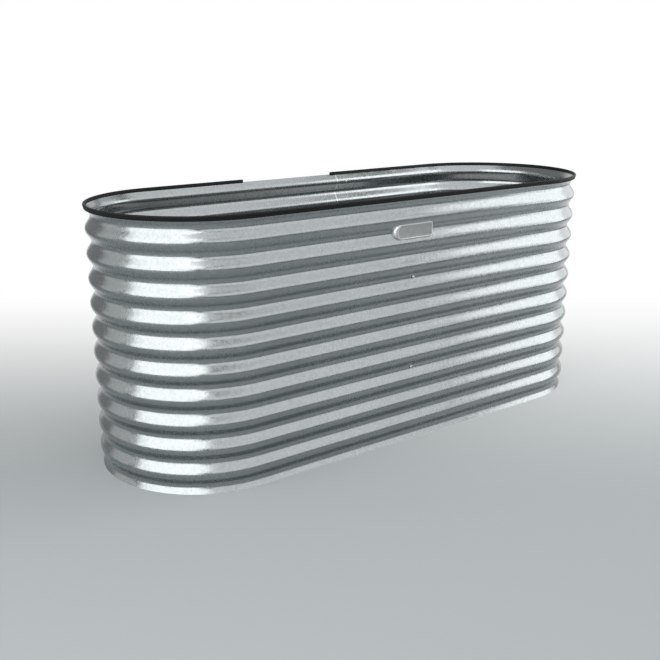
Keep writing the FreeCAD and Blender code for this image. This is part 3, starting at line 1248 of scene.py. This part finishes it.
@dataclass
class BadgeRetainers:
    """Square spring plates pushed over the badge's studs from inside."""

    finish: bpy.types.Material
    node: str = "badge_retainers"
    size: float = 12.0 * MM
    thickness: float = 0.6 * MM
    edge: float = 0.12 * MM
    corner_limit: float = 0.66
    bore: float = 4.1 * MM
    sides: int = 32

    def build(self) -> bpy.types.Object:
        """Set the two plates out from their CAD node.

        Returns:
            The two plates as one mesh.
        """
        low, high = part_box(self.node)
        return WallPattern(
            "badge_retainer_plates", self.model(), self.finish, first_x=low.x + self.size / 2,
            first_z=(low.z + high.z) / 2, reach=-high.y, rows=2, step_x=high.x - low.x - self.size, spin=0.0,
        ).build()

    def model(self) -> bpy.types.Object:
        """One plate: square outside, round inside.

        Returns:
            The plate, facing -Y with its inner face at the origin.
        """
        outer = flat_sided_reach(self.size, 4, self.size * self.corner_limit)
        edge, thick, bore = self.edge, self.thickness, self.bore / 2

        def square(shrunk: float) -> Reach:
            """The plate's outline, drawn in a little."""
            return lambda turn: outer(turn + math.pi / 4) - shrunk

        hole, lip, side, face = round_reach(bore), round_reach(bore + edge), square(0.0), square(edge)
        steps = [(hole, thick - edge), (hole, edge), (lip, 0.0), (face, 0.0),
                 (side, edge), (side, thick - edge), (face, thick), (lip, thick)]
        rings = [turned_ring(reach, out, self.sides) for reach, out in steps]
        return skinned("retainer_model", outwards(rings), self.finish, endless=True)


@dataclass
class Badge:
    """The cast badge: a bare field in a raised rim, a domed left end, sides that meet the wall, and studs."""

    sheet: SheetShape
    finish: bpy.types.Material
    node: str = "badge_plate"
    thickness: float = 2.6 * MM
    rim_width: float = 3.2 * MM
    rim_height: float = 1.0 * MM
    edge: float = 0.9 * MM
    nose: float = 13.0 * MM
    nose_spread: float = 0.7
    nose_fall: float = 0.96
    wall_gap: float = 0.05 * MM
    corner: float = 7.0 * MM
    stud: float = 4.0 * MM
    stud_tip: tuple[Point, ...] = ((0.6, 0.0), (0.9, 0.25 * MM), (1.0, 0.7 * MM))
    stud_root: float = 0.3 * MM
    stud_spacing: float = 96.0 * MM
    stud_sides: int = 20
    round_steps: int = 32
    corner_steps: int = 7
    edge_steps: int = 9

    def build(self) -> bpy.types.Object:
        """Raise the plate from the wall to its field and set it where its CAD node is.

        Returns:
            The finished piece.
        """
        low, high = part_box(self.node)
        middle = (low + high) / 2
        back = low.y + self.thickness
        rings = self.rings((high.x - low.x) / 2, (high.z - low.z) / 2, middle.z, -back)
        plate = skinned("badge_casting", moved(outwards(rings), middle.x, back, middle.z), self.finish)
        places = [middle.x + side * self.stud_spacing / 2 for side in (-1, 1)]
        return joined(plate, [self.stud_at(x, back, middle.z, high.y - back) for x in places])

    def rings(self, half_length: float, half_height: float, height: float, reach: float) -> list[Ring]:
        """The plate's rings, from the wall out over its edge and rim and down to its field.

        Args:
            half_length: Half its length.
            half_height: Half its height.
            height: The height of its middle.
            reach: From the bed's long centre plane to its flat back.

        Returns:
            The rings, made along +Z with the flat back at 0.
        """
        rim = self.rim_width - self.edge
        # Down the rim's inner slope: how far in from its rounded edge, and how far below its top.
        bevel = [(rim - 1.1 * MM, 0.0), (rim - 0.6 * MM, 0.1 * MM), (rim - 0.2 * MM, 0.45 * MM),
                 (rim, self.rim_height - 0.25 * MM), (rim + 0.3 * MM, self.rim_height - 0.05 * MM),
                 (rim + 0.8 * MM, self.rim_height)]
        turns = [math.radians(90.0 * i / self.edge_steps) for i in range(self.edge_steps + 1)]
        rings: list[Ring] = [[] for _ in range(1 + len(turns) + len(bevel))]
        for x, z, out_x, out_z in self.outline(half_length, half_height):
            behind = self.gap_behind(height + z, reach)
            share = max(-out_x, 0.0) ** self.nose_spread
            crown = self.edge + (self.nose - self.edge) * share
            fall = self.edge + ((self.thickness + behind) * self.nose_fall - self.edge) * share
            steps = [(0.0, -behind)]
            for turn in turns:
                steps.append((crown * (1 - math.cos(turn)), self.thickness - fall * (1 - math.sin(turn))))
            steps += [(crown + inset, self.thickness - sunk) for inset, sunk in bevel]
            for ring, (inset, out) in zip(rings, steps):
                ring.append(Vector((x - out_x * inset, z - out_z * inset, out)))
        return rings

    def outline(self, half_length: float, half_height: float) -> list[tuple[float, float, float, float]]:
        """The outline from its lower right corner round.

        Args:
            half_length: Half the plate's length.
            half_height: Half its height.

        Returns:
            Each point's x and z, and the x and z of the way that it faces.
        """
        right, top = half_length - self.corner, half_height - self.corner
        bends = ((right, -top, self.corner, -90, 90, self.corner_steps),
                 (right, top, self.corner, 0, 90, self.corner_steps),
                 (half_height - half_length, 0.0, half_height, 90, 180, self.round_steps))
        points = []
        for x, z, radius, start, sweep, steps in bends:
            for i in range(steps + 1):
                turn = math.radians(start + sweep * i / steps)
                out_x, out_z = math.cos(turn), math.sin(turn)
                points.append((x + radius * out_x, z + radius * out_z, out_x, out_z))
        return points

    def gap_behind(self, height: float, reach: float) -> float:
        """How far the wall's outer face lies behind the flat back at a height."""
        rise = self.sheet.rise_from_trough(height - self.sheet.top_trough)
        return max(reach - self.sheet.trough_reach - rise - self.sheet.thickness / 2, self.wall_gap)

    def stud_at(self, x: float, y: float, z: float, length: float) -> bpy.types.Object:
        """One stud behind the plate, with a rounded tip and a root inside the plate.

        Args:
            x: Its place along the wall.
            y: The place of the plate's flat back.
            z: Its height.
            length: How far it reaches inwards.

        Returns:
            The stud.
        """
        radius = self.stud / 2
        line = [(radius * share, -length + along) for share, along in self.stud_tip]
        line.append((radius, self.stud_root))
        rings = moved(outwards(turned_rings(line, self.stud_sides)), x, y, z)
        return skinned("badge_stud", rings, self.finish)


def joined(piece: bpy.types.Object, others: Sequence[bpy.types.Object]) -> bpy.types.Object:
    """Bring more meshes into a piece's own and remove their objects.

    Args:
        piece: The piece that gets them.
        others: The pieces that go.

    Returns:
        The piece.
    """
    whole = bmesh.new()
    for part in [piece, *others]:
        whole.from_mesh(part.data)
    whole.to_mesh(piece.data)
    whole.free()
    for part in others:
        bpy.data.objects.remove(part)
    return rounded_shading(piece)


@dataclass
class CrossBrace:
    """A flat bar across the bed, with both ends bent down into feet against the walls."""

    node: str
    name: str
    finish: bpy.types.Material
    thickness: float = 3.0 * MM
    bend: float = 4.5 * MM
    edge: float = 0.7 * MM
    edge_steps: int = 3
    cut_taper: float = 0.6
    cut_length: float = 0.5 * MM
    bend_steps: int = 8

    def build(self) -> bpy.types.Object:
        """Sweep the bar's rounded section along its centre line.

        Returns:
            The finished piece.
        """
        low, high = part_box(self.node)
        half = self.thickness / 2
        reach, top = high.y - half, high.z - half
        turn = self.bend
        back = arc((reach - turn, top - turn), turn, 0, 90, self.bend_steps)
        line = [((reach, low.z), 0.0, self.cut_taper), ((reach, low.z + self.cut_length), 0.0, 1.0)]
        line += [(point, 90.0 * i / self.bend_steps, 1.0) for i, point in enumerate(back)]
        front = [((-y, z), 180.0 - facing, share) for (y, z), facing, share in reversed(line)]
        rings = [self.ring(low.x, high.x, *station) for station in line + front]
        return skinned(self.name, rings, self.finish)

    def ring(self, left: float, right: float, centre: Point, facing: float, share: float) -> Ring:
        """The bar's section at one place.

        Args:
            left: Its lowest x.
            right: Its highest x.
            centre: The place of its middle, as y and z.
            facing: The way its outer face points, in degrees from +Y towards +Z.
            share: How much of the full section there is, less than 1 at the cut ends.

        Returns:
            Its points.
        """
        half, edge = self.thickness / 2, self.edge
        inset = (1.0 - share) * half
        middle, reach = (left + right) / 2, (right - left) / 2 - inset
        corners = ((reach - edge, half - inset - edge, 0), (edge - reach, half - inset - edge, 90),
                   (edge - reach, edge + inset - half, 180), (reach - edge, edge + inset - half, 270))
        across = []
        for x, out, start in corners:
            across += arc((x, out), edge, start, start + 90, self.edge_steps)
        cos, sin = math.cos(math.radians(facing)), math.sin(math.radians(facing))
        return [Vector((middle + x, centre[0] + out * cos, centre[1] + out * sin)) for x, out in across]


# The studio


@dataclass
class Softbox:
    """A soft lamp: a glowing rectangle that the camera doesn't see.

    It stands at a distance from its target, at an azimuth anticlockwise from +X and an elevation, both in
    degrees. Its glow is the brightness of its face, where 1 is white.
    """

    name: str
    azimuth: float
    elevation: float
    distance: float
    width: float
    height: float
    glow: float
    target: tuple[float, float, float] = (0.0, 0.0, 0.4)

    def build(self) -> None:
        """Place the lamp, facing its target."""
        lamp = bpy.data.lights.new(self.name, "AREA")
        lamp.shape = "RECTANGLE"
        lamp.size, lamp.size_y = self.width, self.height
        lamp.energy = self.glow * math.pi * self.width * self.height
        around, up = math.radians(self.azimuth), math.radians(self.elevation)
        aim = Vector((math.cos(around) * math.cos(up), math.sin(around) * math.cos(up), math.sin(up)))
        placed = linked(bpy.data.objects.new(self.name, lamp))
        placed.location = Vector(self.target) + aim * self.distance
        placed.rotation_euler = aim.to_track_quat("Z", "Y").to_euler()
        placed.visible_camera = False


@dataclass
class Studio:
    """A pale floor and surround that turn white behind the bed, soft lamps and the camera.

    The white fills a wedge that opens from the camera towards back_azimuth. It fades out between the two
    angles of white_spread to either side, and on the floor it comes in from white_from to white_to, measured
    along back_azimuth from the bed's middle. Near the bed the floor is painted darker, a painted shade that
    the steel mirrors; over far_reach, measured from the wall, it lightens to its pale far colour.
    """

    sheet: SheetShape
    floor_size: float = 60.0
    # Painted shade: the darker floor colour near the bed, which the steel mirrors.
    shaded_near_colour: Colour = (0.40, 0.43, 0.435)
    far_colour: Colour = (0.80, 0.83, 0.835)
    far_reach: tuple[float, float] = (3.2, 6.0)
    back_azimuth: float = math.radians(53.0)
    white_spread: tuple[float, float] = (math.radians(20.5), math.radians(31.0))
    white_from: float = -0.8
    white_to: float = 1.8
    fill: float = 0.32
    camera_place: tuple[float, float, float] = (-1.9666, -2.4574, 1.2115)
    camera_target: tuple[float, float, float] = (-0.1172, 0.0, 0.32005)
    camera_lens: float = 49.9

    def build(self) -> None:
        """Make everything that isn't part of the bed."""
        self.floor()
        self.surround()
        for lamp in self.lamps():
            lamp.build()
        self.camera()

    def lamps(self) -> list[Softbox]:
        """The lamps: soft walls of light, which the round ends and the front mirror, and one overhead.

        Returns:
            The lamps, not yet in the scene.
        """
        return [
            Softbox("left_lamp", azimuth=198.5, elevation=26.0, distance=4.5,
                    width=5.4, height=4.4, glow=2.35),
            Softbox("back_left_lamp", azimuth=146.0, elevation=15.0, distance=4.5,
                    width=2.2, height=3.0, glow=0.50),
            Softbox("front_lamp", azimuth=277.0, elevation=25.0, distance=4.2,
                    width=6.4, height=2.6, glow=1.02),
            Softbox("right_lamp", azimuth=321.0, elevation=27.0, distance=2.5,
                    width=1.15, height=2.0, glow=2.2, target=(0.341, 0.390, -0.017)),
            Softbox("back_right_lamp", azimuth=321.0, elevation=27.0, distance=2.5,
                    width=2.20, height=2.6, glow=1.15, target=(1.289, 1.777, 0.25)),
            Softbox("top_lamp", azimuth=269.0, elevation=64.0, distance=3.2,
                    width=5.0, height=2.2, glow=0.92),
        ]

    def seen(self, sketch: Sketch) -> Term:
        """Tell the rays that see a surface from the rays that light the bed.

        Args:
            sketch: The material's or the world's sketch.

        Returns:
            1 on rays from the camera or from a mirror or glass, otherwise 0.
        """
        rays = sketch.node("ShaderNodeLightPath")
        seen = sketch.math("MAXIMUM", rays.outputs["Is Camera Ray"], rays.outputs["Is Glossy Ray"])
        return sketch.math("MAXIMUM", seen, rays.outputs["Is Transmission Ray"])

    def ahead(self, sketch: Sketch, x: Feed, y: Feed) -> Term:
        """Find the wedge behind the bed.

        Args:
            sketch: The material's or the world's sketch.
            x: The x of a way over the floor.
            y: The y of that way.

        Returns:
            1 straight behind the bed and 0 to its sides.
        """
        turned = sketch.math("ARCTAN2", y, x) - self.back_azimuth
        aside = sketch.math("ABSOLUTE", sketch.math("WRAP", turned, math.pi, -math.pi))
        return sketch.ramp(aside, *self.white_spread, 1.0, 0.0)

    def floor(self) -> None:
        """A pale floor with the bed's shadow, painted shade near the bed, and white far behind the bed."""
        half = self.floor_size / 2
        corners = [(-half, -half, 0), (half, -half, 0), (half, half, 0), (-half, half, 0)]
        mesh = bpy.data.meshes.new("floor")
        mesh.from_pydata(corners, [], [(0, 1, 2, 3)])
        floor = linked(bpy.data.objects.new("floor", mesh))
        material = bpy.data.materials.new("pale_floor")
        material.use_nodes = True
        sketch = Sketch(material.node_tree)
        material.node_tree.nodes.remove(material.node_tree.nodes["Principled BSDF"])
        x, y, _ = sketch.parts(sketch.term("ShaderNodeTexCoord", out="Object"))
        behind = x * math.cos(self.back_azimuth) + y * math.sin(self.back_azimuth)
        near_x, near_y, _ = self.camera_place
        reached = sketch.ramp(behind, self.white_from, self.white_to)
        share = reached * self.ahead(sketch, x - near_x, y - near_y)
        beyond = sketch.math("MAXIMUM", sketch.math("ABSOLUTE", x) - self.sheet.straight, 0.0)
        away = sketch.math("SQRT", beyond * beyond + y * y) - self.sheet.crest_reach
        # Painted shade: the floor is darker near the bed, which the steel's down-slopes mirror, and pale
        # further out.
        tone = sketch.blend(sketch.ramp(away, *self.far_reach), self.shaded_near_colour, self.far_colour)
        paper = sketch.term("ShaderNodeBsdfDiffuse", {"Color": tone})
        white = sketch.term("ShaderNodeEmission", {"Color": (1.0, 1.0, 1.0, 1.0), "Strength": 1.0})
        mixed = sketch.term("ShaderNodeMixShader", {0: share * self.seen(sketch), 1: paper, 2: white})
        sketch.feed(material.node_tree.nodes["Material Output"].inputs["Surface"], mixed)
        mesh.materials.append(material)

    def surround(self) -> None:
        """A soft even fill, which the camera and mirrors see as white behind the bed."""
        world = bpy.data.worlds.new("surround")
        bpy.context.scene.world = world
        world.use_nodes = True
        sketch = Sketch(world.node_tree)
        back = world.node_tree.nodes["Background"]
        back.inputs["Color"].default_value = (1.0, 1.0, 1.0, 1.0)
        x, y, _ = sketch.parts(sketch.term("ShaderNodeTexCoord", out="Generated"))
        share = self.ahead(sketch, x, y) * self.seen(sketch)
        sketch.feed(back.inputs["Strength"], sketch.pick(share, self.fill, 1.0))

    def camera(self) -> None:
        """Stand the camera where the photograph was taken."""
        camera = bpy.data.cameras.new("camera")
        camera.lens = self.camera_lens
        camera.clip_end = self.floor_size * 2
        placed = linked(bpy.data.objects.new("camera", camera))
        placed.location = self.camera_place
        aim = Vector(self.camera_target) - Vector(self.camera_place)
        placed.rotation_euler = aim.to_track_quat("-Z", "Y").to_euler()
        bpy.context.scene.camera = placed
        bpy.context.scene.view_settings.view_transform = "Standard"


# The whole bed


def keep(piece: bpy.types.Object, node: str) -> None:
    """Tie a finished piece to the bed's one body.

    Args:
        piece: The piece.
        node: The CAD node that it stands for.
    """
    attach(piece, BODY)
    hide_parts(node)
    piece.data.calc_loop_triangles()
    log.info("%s stands for %s with %d triangles", piece.name, node, len(piece.data.loop_triangles))


def main() -> None:
    """Build the bed class by class, dress it and light it."""
    logging.basicConfig(level=logging.INFO, format="%(name)s: %(message)s")
    sheet = SheetShape.of_node("wall_sheet")
    zinc = GalvanisedZinc(
        "galvanised_zinc", colour=(0.345, 0.370, 0.375), roughness=0.23, follows_sheet=True,
        cut_at=sheet.lap_start,
    )
    rubber = ExtrudedRubber("edging_rubber", (0.007, 0.008, 0.008), 0.55, Shine.PLASTIC, gloss=0.16)
    bar_zinc = GalvanisedZinc("brace_zinc", (0.40, 0.41, 0.415), 0.38, grain=110.0)
    plated = PlatedSteel("bright_plated_steel", (0.66, 0.67, 0.67), 0.24)
    aluminium = PlatedSteel("satin_aluminium", (0.68, 0.69, 0.70), 0.34, tool_marks=1500.0, stain=0.12)
    spring = PlatedSteel("blued_spring_steel", (0.20, 0.21, 0.23), 0.36, stain=0.4)
    badge_low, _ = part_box("badge_plate")
    field_reach = -badge_low.y - Badge.rim_height
    cast = CastAlloy("cast_badge_metal", (0.40, 0.415, 0.42), 0.42, field_reach=field_reach)

    keep(CorrugatedWall(sheet, zinc.material()).build(), "wall_sheet")
    keep(EdgingStrip(sheet, rubber.material()).build(), "edging_strip")
    keep(LapRivets(aluminium.material()).build(), "lap_rivets")
    bar_finish = bar_zinc.material()
    keep(CrossBrace("upper_brace", "upper_brace_bar", bar_finish).build(), "upper_brace")
    keep(CrossBrace("lower_brace", "lower_brace_bar", bar_finish).build(), "lower_brace")
    for node, piece in BraceFasteners(plated.material()).build().items():
        keep(piece, node)
    keep(Badge(sheet, cast.material()).build(), "badge_plate")
    keep(BadgeRetainers(spring.material()).build(), "badge_retainers")
    Studio(sheet).build()


if __name__ == "__main__":
    main()
